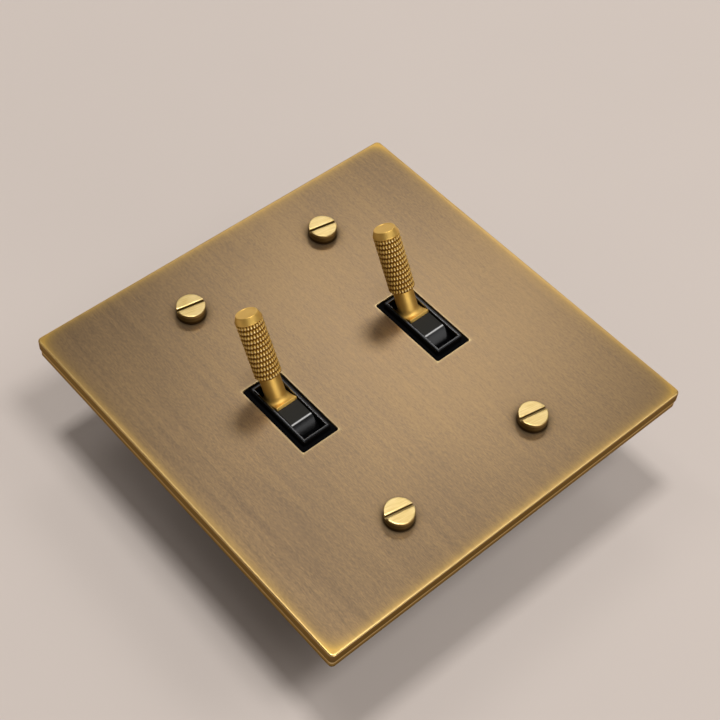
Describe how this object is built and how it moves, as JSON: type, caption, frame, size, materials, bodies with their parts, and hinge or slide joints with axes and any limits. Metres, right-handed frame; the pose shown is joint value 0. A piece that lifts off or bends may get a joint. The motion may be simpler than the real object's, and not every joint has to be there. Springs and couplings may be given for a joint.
{
  "type": "toggle light switch",
  "caption": "Toggle light switch with knurled brass levers side by side on a square aged-brass wall plate, each turning a snap-action changeover switch behind it.",
  "frame": {"origin": "centre of the wall plane, where the back plate's rim meets the wall", "axes": "+X across the two gangs, +Y up the wall, the way the levers lean at rest, +Z out of the wall through the plate's face"},
  "size_m": [0.12, 0.12, 0.0615],
  "materials": {
    "aged_brass": "brushed and aged, burnished along the edges",
    "satin_brass": "satin, brighter than the plate",
    "terminal_brass": "plain stamped strip",
    "contact_metal": "silver-coloured rivets",
    "black_plastic": "glossy black moulding",
    "housing_plastic": "fine matt black moulding",
    "plunger_plastic": "smooth ivory moulding",
    "steel": "bright zinc plating"
  },
  "bodies": {
    "frame": {"front_plate": "aged_brass", "back_plate": "aged_brass", "plate_screws": "satin_brass", "earth_clamp": "terminal_brass", "earth_screw": "steel", "left_bezel": "black_plastic", "left_housing": "housing_plastic", "left_pivot_pin": "steel", "left_fixed_contacts": "contact_metal", "left_upper_terminal": "terminal_brass", "left_lower_terminal": "terminal_brass", "left_common_terminal": "terminal_brass", "left_terminal_screws": "steel", "left_module_screws": "steel", "right_bezel": "black_plastic", "right_housing": "housing_plastic", "right_pivot_pin": "steel", "right_fixed_contacts": "contact_metal", "right_upper_terminal": "terminal_brass", "right_lower_terminal": "terminal_brass", "right_common_terminal": "terminal_brass", "right_terminal_screws": "steel", "right_module_screws": "steel"},
    "left_toggle": {"left_lever": "satin_brass", "left_cradle": "black_plastic", "left_spring": "steel"},
    "left_detent": {"left_plunger": "plunger_plastic"},
    "left_contacts": {"left_contact_rocker": "terminal_brass", "left_moving_contacts": "contact_metal"},
    "right_toggle": {"right_lever": "satin_brass", "right_cradle": "black_plastic", "right_spring": "steel"},
    "right_detent": {"right_plunger": "plunger_plastic"},
    "right_contacts": {"right_contact_rocker": "terminal_brass", "right_moving_contacts": "contact_metal"}
  },
  "joints": [
    {"name": "left_toggle_swing", "type": "hinge", "parent": "frame", "child": "left_toggle", "pos_m": [-0.023, 0, -0.0044], "axis": [1, 0, 0], "range_deg": [0, 56]},
    {"name": "left_plunger_slide", "type": "slide", "parent": "left_toggle", "child": "left_detent", "axis": [0, 0.4695, 0.8829], "range_m": [0, 0.0006], "stiffness_N_per_m": 500, "springref_m": -0.002, "deforming": ["left_spring"]},
    {"name": "left_contact_rock", "type": "hinge", "parent": "frame", "child": "left_contacts", "pos_m": [-0.023, 0, -0.02167], "axis": [1, 0, 0], "range_deg": [-16, 0]},
    {"name": "right_toggle_swing", "type": "hinge", "parent": "frame", "child": "right_toggle", "pos_m": [0.023, 0, -0.0044], "axis": [1, 0, 0], "range_deg": [0, 56]},
    {"name": "right_plunger_slide", "type": "slide", "parent": "right_toggle", "child": "right_detent", "axis": [0, 0.4695, 0.8829], "range_m": [0, 0.0006], "stiffness_N_per_m": 500, "springref_m": -0.002, "deforming": ["right_spring"]},
    {"name": "right_contact_rock", "type": "hinge", "parent": "frame", "child": "right_contacts", "pos_m": [0.023, 0, -0.02167], "axis": [1, 0, 0], "range_deg": [-16, 0]}
  ],
  "couplings": [
    {"joint": "left_contact_rock", "follows": "left_toggle_swing", "ratio": -0.28571},
    {"joint": "right_contact_rock", "follows": "right_toggle_swing", "ratio": -0.28571}
  ]
}
